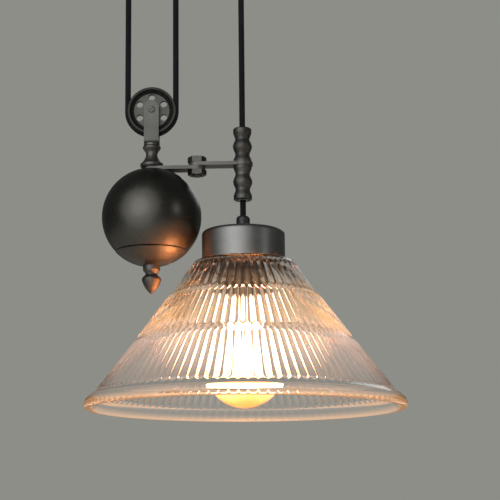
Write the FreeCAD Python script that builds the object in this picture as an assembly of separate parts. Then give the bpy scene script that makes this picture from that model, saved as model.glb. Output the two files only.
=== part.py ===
import FreeCAD, Part
import math
import os

# Rise and fall pendant, in millimetres.  +Z is up, the origin is the middle of the ceiling face.
# The flex runs down from an anchor in the canopy, round the wheel of the ball counterweight, up
# over the wheel of the ceiling pulley and down through the guide to the lamp.

# ---- flex and clearances -----------------------------------------------------------------------
cord_radius = 3.1
groove_clearance = 0.3        # flex to the groove of a wheel
shaft_clearance = 0.05        # turning shaft to its hole, radial
fixed_clearance = 0.1         # bolt or tube to a hole that it doesn't turn in
turning_gap = 0.1             # between flat faces that turn on each other
wheel_side_gap = 0.2          # wheel bush to spacer, along the axle
edge_break = 0.8              # rounding or chamfer on the edges of turned pieces
thread_end = 1.0              # how far a bolt or thread comes out past its nut

# ---- pulleys -----------------------------------------------------------------------------------
lower_cord_radius = 25.2      # axle to the middle of the flex
axle_drop = 198.0             # upper axle down to lower axle, with the lamp raised
flange_wall = 1.2             # wheel cheek beside the groove
rim_lip = 2.3                 # flat edge of the ring that holds the groove
rim_root = 4.4                # the same ring where it meets the sunken band
rim_recess = 2.3              # width of the sunken band inside the ring
web_thickness = 4.6
recess_thickness = 2.6
hub_wall = 2.0
wheel_hole_count = 6
lower_hole_radius = 3.5
lower_hole_circle = 14.5
upper_hole_radius = 4.8
upper_hole_circle = 20.5
bush_radius = 5.0
axle_radius = 2.5
axle_head_radius = 3.5
axle_head_height = 1.5
axle_slot_width = 0.9
axle_slot_depth = 0.8
axle_nut_flats = 8.5
axle_nut_height = 3.0
spacer_radius = 6.0
spacer_thickness = 1.6

# ---- yokes: one bent strip each ----------------------------------------------------------------
strap_width = 15.4
strap_thickness = 2.2
strap_end_margin = 10.0       # strip beyond the axle
strap_end_rounding = 7.2
yoke_bend_radius = 0.9        # inside radius of the bends
yoke_headroom = 2.6           # bolt head to the flex on the wheel

# ---- turned stems ------------------------------------------------------------------------------
stem_height = 25.1
stem_collar_radius = 8.4
stem_bulge_radius = 9.3
stem_neck_radius = 6.0
stem_flange_radius = 12.0
tie_radius = 3.0
tie_head_radius = 5.4
tie_head_height = 2.5

# ---- canopy and what it holds ------------------------------------------------------------------
canopy_radius = 65.0
canopy_height = 28.0
canopy_wall = 1.5
canopy_corner = 9.0
bracket_width = 24.0
bracket_thickness = 2.0
bracket_ear_height = 16.0
ceiling_screw_spacing = 55.0
ceiling_screw_hole_radius = 2.6
supply_hole_radius = 6.0
supply_hole_x = -13.0
canopy_screw_radius = 2.0
canopy_screw_drop = 10.0      # below the ceiling
canopy_screw_head_radius = 4.2
canopy_screw_head_height = 2.6
terminal_length = 34.0
terminal_width = 17.0
terminal_height = 12.5
terminal_ways = 3
terminal_screw_radius = 1.7
terminal_screw_height = 2.0
anchor_grip_radius = 8.5
anchor_grip_mouth_radius = 5.6
anchor_grip_height = 13.0
grip_thread_radius = 5.5
lock_nut_flats = 15.0
lock_nut_height = 3.5

# ---- counterweight -----------------------------------------------------------------------------
ball_radius = 51.5
ball_flat_radius = 15.0       # flat on top, under the arm
seam_groove = 0.9             # half width and depth of the groove round the seam
cavity_radius = 31.0          # bored up into the cast ball for the trim weights
cavity_above_middle = 26.0
cap_wall = 2.0
cap_proud = 0.4               # the lower cap stands out past the ball by this much
cap_height = 15.9             # bottom of the ball up to the seam
cap_lip = 3.0
trim_count = 3                # discs that balance the lamp
trim_radius = 30.0
trim_thickness = 6.0
finial_collar_radius = 8.8
finial_collar_height = 3.6
finial_neck_radius = 6.2
finial_nut_radius = 9.8
finial_height = 28.0
finial_thread_depth = 16.0
ball_to_cup = 0.4             # between ball and cup, measured level

# ---- jointed arm -------------------------------------------------------------------------------
bar_width = 17.0
bar_thickness = 3.7
bar_eye_radius = 10.6         # round end of the outer bar, under the guide
elbow_bolt_radius = 5.0
elbow_flats = 17.0
elbow_head_height = 6.2
elbow_nut_height = 5.6
nut_chamfer = 1.2

# ---- cord guide: two turned halves and a liner -------------------------------------------------
guide_half_height = 36.5
guide_lip_radius = 9.5
guide_lip_height = 6.0
guide_neck_radius = 7.5
guide_bead_radius = 9.9
guide_flare_radius = 9.4
guide_spigot_radius = 6.4
guide_spigot_height = 5.5
guide_liner_wall = 1.0
guide_edge = 1.0              # chamfer on the lips
guide_play = 0.5              # flex to liner, radial
guide_gap = 16.5              # guide down to the gland, with the lamp raised

# ---- lamp head ---------------------------------------------------------------------------------
gland_radius = 7.0
gland_height = 16.0
gland_rounding = 3.6
gland_seat_depth = 8.0        # the flex ends this far down in the gland
nipple_radius = 4.9
nipple_reach = 10.0
cup_radius = 42.6
cup_height = 31.5
cup_wall = 1.2
cup_corner = 4.5
cup_cover = 6.5               # how far the cup reaches down over the glass crown
cup_to_glass = 0.3            # edge of the cup to the shoulder of the glass
holder_radius = 20.8
holder_flange_radius = 25.0
holder_flange_height = 3.0
holder_reach = 41.0           # below the glass crown
shell_wall = 0.6
contact_radius = 3.0
contact_height = 5.0
ring_wall = 3.0
ring_flange_radius = 28.0
ring_flange_height = 3.0

# ---- glass shade: three ribbed tiers and a plain rim -------------------------------------------
glass_wall = 3.6
crown_thickness = 5.0
crown_hole_clearance = 0.4
crown_play = 0.8              # crown to the inside of the cup
crown_rounding = 2.4
shoulder_radius = 46.5        # where the flat shoulder starts to turn down
shoulder_fall = 3.7
tier_tops = [(53.3, 0.0), (78.0, 34.0), (112.6, 80.5)]       # radius, drop from the first tier
tier_bottoms = [(73.9, 31.4), (109.2, 75.5), (152.1, 131.6)]
rim_radius = 162.2
rim_height = 15.9
rim_flare_start = 157.4       # radius where the plain rim turns outward
rim_flare_height = 11.9
rim_edge_height = 7.2
rim_rounding = 2.2
rim_lip_width = 6.5

# ---- bulb --------------------------------------------------------------------------------------
bulb_radius = 39.5
bulb_length = 111.0           # glass only
bulb_wall = 0.9
bulb_neck_radius = 14.2
bulb_neck_length = 8.0        # straight part of the neck
bulb_cap_radius = 13.2
bulb_cap_length = 25.0
bulb_cap_wall = 0.5
bulb_cap_cone = 3.0           # height of the cone at the end of the cap
bulb_tip_radius = 4.5
bulb_tip_length = 2.0
mount_radius = 3.6
mount_length = 38.0
mount_foot_length = 16.0      # thinner end that holds the wires
filament_count = 8
filament_radius = 0.45
filament_circle = 9.0
filament_length = 44.0
filament_hub_margin = 1.0     # hub beyond the ring of wires
filament_hub_thickness = 1.2

# ---- places, from the sizes above --------------------------------------------------------------
cord_diameter = 2 * cord_radius
bore_radius = cord_radius + guide_play
wheel_width = cord_diameter + 2 * groove_clearance + 2 * flange_wall
bush_half = wheel_width / 2
spacer_start = bush_half + wheel_side_gap
strap_inner = spacer_start + spacer_thickness
strap_outer = strap_inner + strap_thickness

stem_to_lamp = ball_radius + cup_radius + ball_to_cup
upper_cord_radius = (stem_to_lamp - lower_cord_radius) / 2
anchor_x = -(lower_cord_radius + upper_cord_radius / 2)
stem_x = anchor_x + lower_cord_radius
middle_strand_x = stem_x + lower_cord_radius
upper_x = middle_strand_x + upper_cord_radius
lamp_x = upper_x + upper_cord_radius
elbow_x = (stem_x + lamp_x) / 2

upper_reach = upper_cord_radius + cord_radius + yoke_headroom + tie_head_height
lower_reach = lower_cord_radius + cord_radius + yoke_headroom + tie_head_height
canopy_floor = -canopy_height
upper_yoke_top = canopy_floor - stem_height
upper_axle_z = upper_yoke_top - strap_thickness - upper_reach
lower_axle_z = upper_axle_z - axle_drop
lower_yoke_bottom = lower_axle_z - lower_reach - strap_thickness
inner_bar_top = lower_yoke_bottom - stem_height
ball_top = inner_bar_top - bar_thickness
ball_z = ball_top - math.sqrt(ball_radius ** 2 - ball_flat_radius ** 2)
ball_bottom = ball_z - ball_radius - cap_proud
seam_z = ball_bottom + cap_height
seam_radius = math.sqrt((ball_radius + cap_proud) ** 2 - (ball_z - seam_z) ** 2)
cavity_top = ball_z + cavity_above_middle
trim_bottom = cavity_top - trim_count * trim_thickness
finial_tip = ball_bottom - finial_height

outer_bar_bottom = inner_bar_top + turning_gap
outer_bar_top = outer_bar_bottom + bar_thickness
guide_bottom = outer_bar_bottom - guide_half_height
guide_top = outer_bar_top + guide_half_height
gland_top = guide_bottom - guide_gap
cup_top = gland_top - gland_height
cup_bottom = cup_top - cup_height
holder_top = cup_top - cup_wall - lock_nut_height
crown_top = cup_bottom + cup_cover
crown_bottom = crown_top - crown_thickness
crown_radius = cup_radius - cup_wall - crown_play
shoulder_z = cup_bottom - cup_to_glass
tier_z = shoulder_z - shoulder_fall
rim_z = tier_z - tier_bottoms[2][1] - rim_height
holder_bottom = crown_bottom - holder_reach
grip_mouth = canopy_floor - anchor_grip_height
terminal_bottom = -bracket_thickness - terminal_height
crown_hole_radius = holder_radius + crown_hole_clearance
ring_radius = holder_radius + fixed_clearance + ring_wall


# ---- shape helpers -----------------------------------------------------------------------------
def between(first, second, share):
    return first + (second - first) * share


def vector(radius, height):
    return FreeCAD.Vector(radius, 0, height)


def turned(path, x=0.0):
    """A solid of revolution.  path holds (r, z) corners; an item ("arc", middle, end) is an arc
    and an item ("curve", point, point, ...) is a smooth curve through its points."""
    edges = []
    here = vector(*path[0])
    for item in path[1:] + [path[0]]:
        if item[0] == "arc":
            end = vector(*item[2])
            edges.append(Part.Arc(here, vector(*item[1]), end).toShape())
        elif item[0] == "curve":
            end = vector(*item[-1])
            curve = Part.BSplineCurve()
            curve.interpolate([here] + [vector(*point) for point in item[1:]])
            edges.append(curve.toShape())
        else:
            end = vector(*item)
            if here.distanceToPoint(end) > 1e-6:
                edges.append(Part.LineSegment(here, end).toShape())
        here = end
    face = Part.Face(Part.Wire(edges))
    solid = face.revolve(FreeCAD.Vector(0, 0, 0), FreeCAD.Vector(0, 0, 1), 360)
    solid.translate(FreeCAD.Vector(x, 0, 0))
    return solid


def rod(radius, low, high, x=0.0, y=0.0):
    return Part.makeCylinder(radius, high - low, FreeCAD.Vector(x, y, low))


def tube(outer, inner, low, high, x=0.0, y=0.0):
    return rod(outer, low, high, x, y).cut(rod(inner, low - 1, high + 1, x, y))


def cross_rod(radius, near, far, x, z):
    """A cylinder along Y."""
    return Part.makeCylinder(radius, far - near, FreeCAD.Vector(x, near, z), FreeCAD.Vector(0, 1, 0))


def box(x0, y0, z0, x1, y1, z1):
    return Part.makeBox(x1 - x0, y1 - y0, z1 - z0, FreeCAD.Vector(x0, y0, z0))


def hexagon(flats, low, high, x=0.0, chamfer=0.0, top=True):
    """A hexagon bar end or nut, with the corners of one face turned off."""
    corner = flats / math.sqrt(3)
    points = [FreeCAD.Vector(x + corner * math.cos(math.radians(60 * i)),
                             corner * math.sin(math.radians(60 * i)), low) for i in range(7)]
    solid = Part.Face(Part.makePolygon(points)).extrude(FreeCAD.Vector(0, 0, high - low))
    if chamfer:
        drop = chamfer * 0.6
        if top:
            lathe = turned([(0, low - 1), (corner + 1, low - 1), (corner + 1, high - drop),
                            (corner, high - drop), (corner - chamfer, high), (0, high)], x)
        else:
            lathe = turned([(0, high + 1), (corner + 1, high + 1), (corner + 1, low + drop),
                            (corner, low + drop), (corner - chamfer, low), (0, low)], x)
        solid = solid.common(lathe)
    return solid


def cross_hexagon(flats, near, far, x, z):
    """A hexagon nut along Y."""
    solid = hexagon(flats, 0, far - near)
    solid.rotate(FreeCAD.Vector(0, 0, 0), FreeCAD.Vector(1, 0, 0), -90)
    solid.translate(FreeCAD.Vector(x, near, z))
    return solid


def turned_over(shape, z):
    """The same piece the other way up, turned about the level z."""
    copy = shape.copy()
    copy.rotate(FreeCAD.Vector(0, 0, z), FreeCAD.Vector(1, 0, 0), 180)
    return copy


def group(solids):
    return Part.makeCompound(solids)


# ---- pulleys -----------------------------------------------------------------------------------
def wheel(cord_radius_here, hole_radius, hole_circle, x, z):
    """A grooved wheel with a sunken band, a pierced web and a bore for its bush, along Y."""
    half = wheel_width / 2
    groove = cord_radius + groove_clearance
    rim = cord_radius_here
    lip = rim - rim_lip
    root = rim - rim_root
    web_radius = root - rim_recess
    hub = bush_radius + hub_wall
    web = web_thickness / 2
    recess = recess_thickness / 2
    path = [(bush_radius, -half), (hub, -half), (hub, -web), (web_radius, -web),
            (web_radius, -recess), (root, -recess), (lip, -half), (rim, -half),
            (rim, -groove), ("arc", (rim - groove, 0), (rim, groove)),
            (rim, half), (lip, half), (root, recess), (web_radius, recess),
            (web_radius, web), (hub, web), (hub, half), (bush_radius, half)]
    solid = turned(path)
    for i in range(wheel_hole_count):
        angle = math.radians(90 + i * 360 / wheel_hole_count)
        solid = solid.cut(rod(hole_radius, -half, half,
                              hole_circle * math.cos(angle), hole_circle * math.sin(angle)))
    solid.rotate(FreeCAD.Vector(0, 0, 0), FreeCAD.Vector(1, 0, 0), 90)
    solid.translate(FreeCAD.Vector(x, 0, z))
    return solid


def wheel_bush(x, z):
    bore = axle_radius + shaft_clearance
    return cross_rod(bush_radius, -bush_half, bush_half, x, z).cut(
        cross_rod(bore, -bush_half - 1, bush_half + 1, x, z))


def spacers(x, z):
    pieces = []
    for side in (-1, 1):
        near, far = sorted((side * spacer_start, side * strap_inner))
        ring = cross_rod(spacer_radius, near, far, x, z)
        pieces.append(ring.cut(cross_rod(axle_radius + fixed_clearance, near - 1, far + 1, x, z)))
    return group(pieces)


def yoke(x, axle_z, reach):
    """A strip bent into a U, straps up, with a hole for the axle and one for the tie bolt."""
    floor = axle_z - reach
    top = axle_z + strap_end_margin
    half = strap_width / 2
    bend_out = yoke_bend_radius + strap_thickness
    outer = box(x - half, -strap_outer, floor - strap_thickness, x + half, strap_outer, top)
    outer = outer.makeFillet(bend_out, [e for e in outer.Edges if abs(e.Length - strap_width) < 1e-6
                                        and e.CenterOfMass.z < floor])
    inner = box(x - half - 1, -strap_inner, floor, x + half + 1, strap_inner, top + 1)
    inner = inner.makeFillet(yoke_bend_radius, [e for e in inner.Edges
                                                if abs(e.Length - strap_width - 2) < 1e-6
                                                and e.CenterOfMass.z < floor + 0.5])
    strip = outer.cut(inner)
    ends = [e for e in strip.Edges if abs(e.Length - strap_thickness) < 1e-6
            and abs(e.CenterOfMass.z - top) < 1e-6]
    strip = strip.makeFillet(min(strap_end_rounding, 0.47 * strap_width), ends)
    strip = strip.cut(cross_rod(axle_radius + fixed_clearance, -strap_outer - 1, strap_outer + 1,
                                x, axle_z))
    return strip.cut(rod(tie_radius + fixed_clearance, floor - strap_thickness - 1, floor + 1, x))


def axle(x, z):
    """A slotted axle screw, head to the front (-Y)."""
    shank = cross_rod(axle_radius, -strap_outer, strap_outer + axle_nut_height + thread_end, x, z)
    head = cross_rod(axle_head_radius, -strap_outer - axle_head_height, -strap_outer, x, z)
    head = head.makeFillet(axle_head_height * 0.5, [e for e in head.Edges
                           if abs(e.CenterOfMass.y + strap_outer + axle_head_height) < 1e-6])
    front = -strap_outer - axle_head_height
    slot = box(-axle_head_radius, front - 1, -axle_slot_width / 2,
               axle_head_radius, front + axle_slot_depth, axle_slot_width / 2)
    slot.rotate(FreeCAD.Vector(0, 0, 0), FreeCAD.Vector(0, 1, 0), -40)
    slot.translate(FreeCAD.Vector(x, 0, z))
    return head.fuse(shank).cut(slot)


def axle_nut(x, z):
    nut = cross_hexagon(axle_nut_flats, strap_outer, strap_outer + axle_nut_height, x, z)
    return nut.cut(cross_rod(axle_radius + fixed_clearance, strap_outer - 1,
                             strap_outer + axle_nut_height + 1, x, z))


def stem(x, flange_z):
    """A turned stem standing on its flange, with a through hole for the tie bolt."""
    def at(share):
        return flange_z + share * stem_height
    hole = tie_radius + fixed_clearance
    path = [(hole, at(0)), (stem_flange_radius - edge_break, at(0)), (stem_flange_radius, at(0.05)),
            (stem_flange_radius, at(0.14)),
            ("curve", (between(stem_neck_radius, stem_flange_radius, 0.6), at(0.23)),
             (between(stem_neck_radius, stem_flange_radius, 0.2), at(0.375)), (stem_neck_radius, at(0.565)),
             (between(stem_neck_radius, stem_bulge_radius, 0.42), at(0.70)), (stem_bulge_radius, at(0.81)),
             (stem_collar_radius, at(0.925))),
            (stem_collar_radius, at(1)), (hole, at(1))]
    return turned(path, x)


def tie_bolt(x, head_low, end_z):
    """A long bolt; its head stands on head_low and its shank runs down to end_z."""
    head = rod(tie_head_radius, head_low, head_low + tie_head_height, x)
    head = head.makeFillet(edge_break, [e for e in head.Edges
                                        if abs(e.CenterOfMass.z - head_low - tie_head_height) < 1e-6])
    return head.fuse(rod(tie_radius, end_z, head_low, x))


# ---- canopy and what it holds ------------------------------------------------------------------
def canopy():
    outer, inner = canopy_radius, canopy_radius - canopy_wall
    corner = canopy_corner
    inner_corner = corner - canopy_wall
    low, floor = canopy_floor, canopy_floor + canopy_wall
    turn = math.sqrt(0.5)
    path = [(0, low), (outer - corner, low),
            ("arc", (outer - corner + corner * turn, low + corner - corner * turn), (outer, low + corner)),
            (outer, 0), (inner, 0), (inner, low + corner),
            ("arc", (outer - corner + inner_corner * turn, low + corner - inner_corner * turn),
             (outer - corner, floor)), (0, floor)]
    solid = turned(path)
    solid = solid.cut(rod(grip_thread_radius + fixed_clearance, low - 1, floor + 1, anchor_x))
    solid = solid.cut(rod(tie_radius + fixed_clearance, low - 1, floor + 1, upper_x))
    for side in (-1, 1):
        hole = Part.makeCylinder(canopy_screw_radius + fixed_clearance, canopy_wall + 4,
                                 FreeCAD.Vector(side * (inner - 2), 0, -canopy_screw_drop),
                                 FreeCAD.Vector(side, 0, 0))
        solid = solid.cut(hole)
    return solid


def ear_face():
    """Where a flat ear of the bracket just clears the round wall of the canopy."""
    wall = canopy_radius - canopy_wall
    return math.sqrt(wall ** 2 - (bracket_width / 2) ** 2) - fixed_clearance


def ceiling_bracket():
    reach = ear_face()
    half = bracket_width / 2
    strip = box(-reach, -half, -bracket_thickness, reach, half, 0)
    for side in (-1, 1):
        x0, x1 = sorted((side * (reach - bracket_thickness), side * reach))
        strip = strip.fuse(box(x0, -half, -bracket_ear_height, x1, half, -bracket_thickness))
        strip = strip.cut(rod(ceiling_screw_hole_radius, -bracket_thickness - 1, 1,
                              side * ceiling_screw_spacing / 2))
        start = side * (reach - bracket_thickness - 1)
        hole = Part.makeCylinder(canopy_screw_radius, bracket_thickness + 2,
                                 FreeCAD.Vector(start, 0, -canopy_screw_drop), FreeCAD.Vector(side, 0, 0))
        strip = strip.cut(hole)
    supply_hole = rod(supply_hole_radius, -bracket_thickness - 1, 1, supply_hole_x)
    return strip.cut(supply_hole).removeSplitter()


def canopy_screws():
    """One screw each side, through the canopy wall into the ear."""
    start = ear_face() - bracket_thickness
    pieces = []
    for side in (-1, 1):
        along = FreeCAD.Vector(side, 0, 0)
        shank = Part.makeCylinder(canopy_screw_radius, canopy_radius - start,
                                  FreeCAD.Vector(side * start, 0, -canopy_screw_drop), along)
        head = Part.makeCylinder(canopy_screw_head_radius, canopy_screw_head_height,
                                 FreeCAD.Vector(side * canopy_radius, 0, -canopy_screw_drop), along)
        end = canopy_radius + canopy_screw_head_height
        head = head.makeFillet(edge_break, [e for e in head.Edges
                                            if abs(abs(e.CenterOfMass.x) - end) < 1e-6])
        pieces.append(head.fuse(shank))
    return group(pieces)


def terminal_block():
    """The block hangs under the bracket, over the anchor, and the flex ends in its lower face."""
    block = box(anchor_x - terminal_width / 2, -terminal_length / 2, terminal_bottom,
                anchor_x + terminal_width / 2, terminal_length / 2, -bracket_thickness)
    for i in range(terminal_ways):
        y = (i - (terminal_ways - 1) / 2) * terminal_length / terminal_ways
        x = anchor_x - terminal_width / 4 - terminal_screw_radius
        block = block.cut(rod(terminal_screw_radius + fixed_clearance, terminal_bottom - 1,
                              terminal_bottom + terminal_screw_height, x, y))
    return block


def terminal_screws():
    pieces = []
    for i in range(terminal_ways):
        y = (i - (terminal_ways - 1) / 2) * terminal_length / terminal_ways
        x = anchor_x - terminal_width / 4 - terminal_screw_radius
        pieces.append(rod(terminal_screw_radius, terminal_bottom - 0.6,
                          terminal_bottom + terminal_screw_height, x, y))
    return group(pieces)


def anchor_grip():
    """Cord grip: a cone under the canopy and a threaded neck up through its floor."""
    neck_top = canopy_floor + canopy_wall + lock_nut_height + thread_end
    bore = cord_radius + fixed_clearance
    cone_top = canopy_floor - 0.3 * anchor_grip_height
    path = [(bore, grip_mouth), (anchor_grip_mouth_radius - edge_break, grip_mouth),
            (anchor_grip_mouth_radius, grip_mouth + edge_break), (anchor_grip_radius, cone_top),
            (anchor_grip_radius, canopy_floor), (grip_thread_radius, canopy_floor),
            (grip_thread_radius, neck_top), (bore, neck_top)]
    return turned(path, anchor_x)


def lock_nut(hole, low, x):
    nut = hexagon(lock_nut_flats, low, low + lock_nut_height, x)
    return nut.cut(rod(hole + fixed_clearance, low - 1, low + lock_nut_height + 1, x))


# ---- counterweight -----------------------------------------------------------------------------
def seam_ring():
    """The V groove that ball and cap share."""
    return turned([(seam_radius + seam_groove, seam_z + 2 * seam_groove), (seam_radius - seam_groove, seam_z),
                   (seam_radius + seam_groove, seam_z - 2 * seam_groove)], stem_x)


def ball_body():
    """The cast ball: flat on top, cut off at the seam and bored for the trim weights."""
    ball = Part.makeSphere(ball_radius, FreeCAD.Vector(stem_x, 0, ball_z))
    ball = ball.common(rod(ball_radius + 1, seam_z, ball_top, stem_x))
    ball = ball.cut(rod(cavity_radius, seam_z - 1, cavity_top, stem_x)).cut(seam_ring())
    return ball.cut(rod(tie_radius + fixed_clearance, cavity_top - 1, ball_top + 1, stem_x))


def ball_cap():
    """The lower cap, with a lip that fits up inside the bore of the ball."""
    middle = FreeCAD.Vector(stem_x, 0, ball_z)
    outer = Part.makeSphere(ball_radius + cap_proud, middle)
    inner = Part.makeSphere(ball_radius + cap_proud - cap_wall, middle)
    bowl = outer.common(rod(ball_radius + 1, ball_bottom - 1, seam_z, stem_x)).cut(inner)
    lip_radius = cavity_radius - fixed_clearance
    lip = tube(lip_radius, lip_radius - cap_wall, seam_z - cap_wall, seam_z + cap_lip, stem_x)
    ledge = tube(seam_radius + 1, lip_radius - cap_wall, seam_z - cap_wall, seam_z, stem_x)
    bowl = bowl.fuse(lip).fuse(ledge.common(outer)).cut(seam_ring())
    return bowl.cut(rod(tie_radius + fixed_clearance, ball_bottom - 1, ball_bottom + cap_wall + 1,
                        stem_x)).removeSplitter()


def trim_weights():
    """Loose discs on the tie bolt, up against the top of the bore."""
    hole = tie_radius + fixed_clearance
    return group([tube(trim_radius, hole, cavity_top - (i + 1) * trim_thickness,
                       cavity_top - i * trim_thickness, stem_x) for i in range(trim_count)])


def finial():
    """A turned acorn nut on the end of the tie bolt."""
    def at(share):
        return ball_bottom - share * finial_height
    top = ball_bottom + 0.6
    seat = math.sqrt((ball_radius + cap_proud) ** 2 - finial_collar_radius ** 2)
    collar_top = ball_z - seat
    path = [(tie_radius, top), (tie_radius + 2, top - 0.4), (finial_collar_radius, collar_top),
            (finial_collar_radius, ball_bottom - finial_collar_height),
            ("curve", (between(finial_neck_radius, finial_collar_radius, 0.54), at(0.2)),
             (finial_neck_radius, at(0.28)), (between(finial_neck_radius, finial_nut_radius, 0.5), at(0.365)),
             (finial_nut_radius, at(0.45)), (0.92 * finial_nut_radius, at(0.607)),
             (0.63 * finial_nut_radius, at(0.807)), (0.27 * finial_nut_radius, at(0.957))),
            (0.12 * finial_nut_radius, finial_tip), (0, finial_tip), (0, top - finial_thread_depth),
            (tie_radius, top - finial_thread_depth)]
    ball = Part.makeSphere(ball_radius + cap_proud, FreeCAD.Vector(stem_x, 0, ball_z))
    return turned(path, stem_x).cut(ball)


# ---- jointed arm -------------------------------------------------------------------------------
def flat_bar(start, end, low, start_hole, end_hole, end_radius):
    """A flat bar along X with round ends and a hole at each end."""
    half = bar_width / 2
    high = low + bar_thickness
    bar = box(start, -half, low, end, half, high)
    bar = bar.fuse(rod(half, low, high, start)).fuse(rod(end_radius, low, high, end))
    return bar.cut(rod(start_hole, low - 1, high + 1, start)).cut(
        rod(end_hole, low - 1, high + 1, end)).removeSplitter()


def elbow_bolt():
    head_low = outer_bar_top + turning_gap
    head = hexagon(elbow_flats, head_low, head_low + elbow_head_height, elbow_x, chamfer=nut_chamfer)
    return head.fuse(rod(elbow_bolt_radius, ball_top - elbow_nut_height - thread_end, head_low, elbow_x))


def elbow_nut():
    high = ball_top
    nut = hexagon(elbow_flats, high - elbow_nut_height, high, elbow_x, chamfer=nut_chamfer, top=False)
    return nut.cut(rod(elbow_bolt_radius + fixed_clearance, high - elbow_nut_height - 1, high + 1, elbow_x))


# ---- cord guide --------------------------------------------------------------------------------
def guide_outline(base, direction, bore):
    """Turned outline of one half, from the face on the bar out to the lip."""
    def at(share):
        return base + direction * share * guide_half_height
    lip = 1 - guide_lip_height / guide_half_height
    edge = 1 - guide_edge / guide_half_height
    neck, bead = guide_neck_radius, guide_bead_radius
    return [(bore, at(0)), (guide_flare_radius, at(0)), (guide_flare_radius, at(0.075)),
            ("curve", (between(neck, guide_flare_radius, 0.42), at(0.15)), (neck, at(0.245)),
             (between(neck, bead, 0.46), at(0.335)), (bead, at(0.46)), (between(neck, bead, 0.5), at(0.59)),
             (neck, at(0.68)), (between(neck, guide_lip_radius, 0.25), at(0.75)),
             (guide_lip_radius, at(lip + 0.03))),
            (guide_lip_radius, at(edge)), (guide_lip_radius - guide_edge, at(1)), (bore, at(1))]


liner_outer = bore_radius + guide_liner_wall
guide_bore = liner_outer + fixed_clearance


def guide_upper():
    half = turned(guide_outline(outer_bar_top, 1, guide_bore), lamp_x)
    return half.cut(rod(guide_spigot_radius + fixed_clearance, outer_bar_top - 1,
                        outer_bar_top + guide_spigot_height + fixed_clearance, lamp_x))


def guide_lower():
    half = turned(guide_outline(outer_bar_bottom, -1, guide_bore), lamp_x)
    spigot = tube(guide_spigot_radius, guide_bore, outer_bar_bottom - 0.5,
                  outer_bar_top + guide_spigot_height, lamp_x)
    return half.fuse(spigot).removeSplitter()


def guide_liner():
    """A sleeve of smooth plastic that the flex runs through, flush with the ends of the guide."""
    return tube(liner_outer, bore_radius, guide_bottom, guide_top, lamp_x)


# ---- lamp head ---------------------------------------------------------------------------------
def cord_gland():
    """Rounded gland on the cup, with a threaded nipple down into the lampholder."""
    bore = cord_radius + fixed_clearance
    turn = math.sqrt(0.5)
    corner_r, corner_z = gland_radius - gland_rounding, gland_top - gland_rounding
    seat = gland_top - gland_seat_depth
    path = [(bore, seat), (bore, gland_top), (corner_r, gland_top),
            ("arc", (corner_r + gland_rounding * turn, corner_z + gland_rounding * turn),
             (gland_radius, corner_z)), (gland_radius, cup_top), (nipple_radius, cup_top),
            (nipple_radius, cup_top - nipple_reach), (0, cup_top - nipple_reach), (0, seat)]
    return turned(path, lamp_x)


def cup():
    inner = cup_radius - cup_wall
    inner_corner = cup_corner - cup_wall
    turn = math.sqrt(0.5)
    outer_r, top_z = cup_radius - cup_corner, cup_top - cup_corner
    path = [(nipple_radius + fixed_clearance, cup_top), (outer_r, cup_top),
            ("arc", (outer_r + cup_corner * turn, top_z + cup_corner * turn), (cup_radius, top_z)),
            (cup_radius, cup_bottom), (inner, cup_bottom), (inner, top_z),
            ("arc", (outer_r + inner_corner * turn, top_z + inner_corner * turn),
             (outer_r, cup_top - cup_wall)), (nipple_radius + fixed_clearance, cup_top - cup_wall)]
    return turned(path, lamp_x)


shell_bore = bulb_cap_radius + shaft_clearance
holder_bore = shell_bore + shell_wall
cap_top = holder_bottom + bulb_cap_length
contact_low = cap_top + bulb_tip_length


def lampholder():
    """Holder body: a flange on the glass crown, a socket below and a hole for the nipple above."""
    hole_end = cup_top - nipple_reach
    body = turned([(nipple_radius + fixed_clearance, holder_top), (holder_radius - edge_break, holder_top),
                   (holder_radius, holder_top - edge_break),
                   (holder_radius, crown_top + holder_flange_height),
                   (holder_flange_radius, crown_top + holder_flange_height),
                   (holder_flange_radius, crown_top), (holder_radius, crown_top),
                   (holder_radius, holder_bottom), (holder_bore, holder_bottom),
                   (holder_bore, contact_low), (0, contact_low), (0, hole_end - fixed_clearance),
                   (nipple_radius + fixed_clearance, hole_end - fixed_clearance)], lamp_x)
    return body.cut(rod(contact_radius + fixed_clearance, contact_low - 1,
                        contact_low + contact_height, lamp_x))


def screw_shell():
    return tube(holder_bore - fixed_clearance / 2, shell_bore, holder_bottom + 0.5, contact_low - 0.5, lamp_x)


def centre_contact():
    return rod(contact_radius, contact_low, contact_low + contact_height, lamp_x)


def shade_ring():
    """Ring nut that screws up the holder and clamps the glass."""
    bore = holder_radius + fixed_clearance
    return turned([(bore, holder_bottom), (ring_radius - edge_break, holder_bottom),
                   (ring_radius, holder_bottom + edge_break),
                   (ring_radius, crown_bottom - ring_flange_height),
                   (ring_flange_radius, crown_bottom - ring_flange_height),
                   (ring_flange_radius, crown_bottom), (bore, crown_bottom)], lamp_x)


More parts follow.
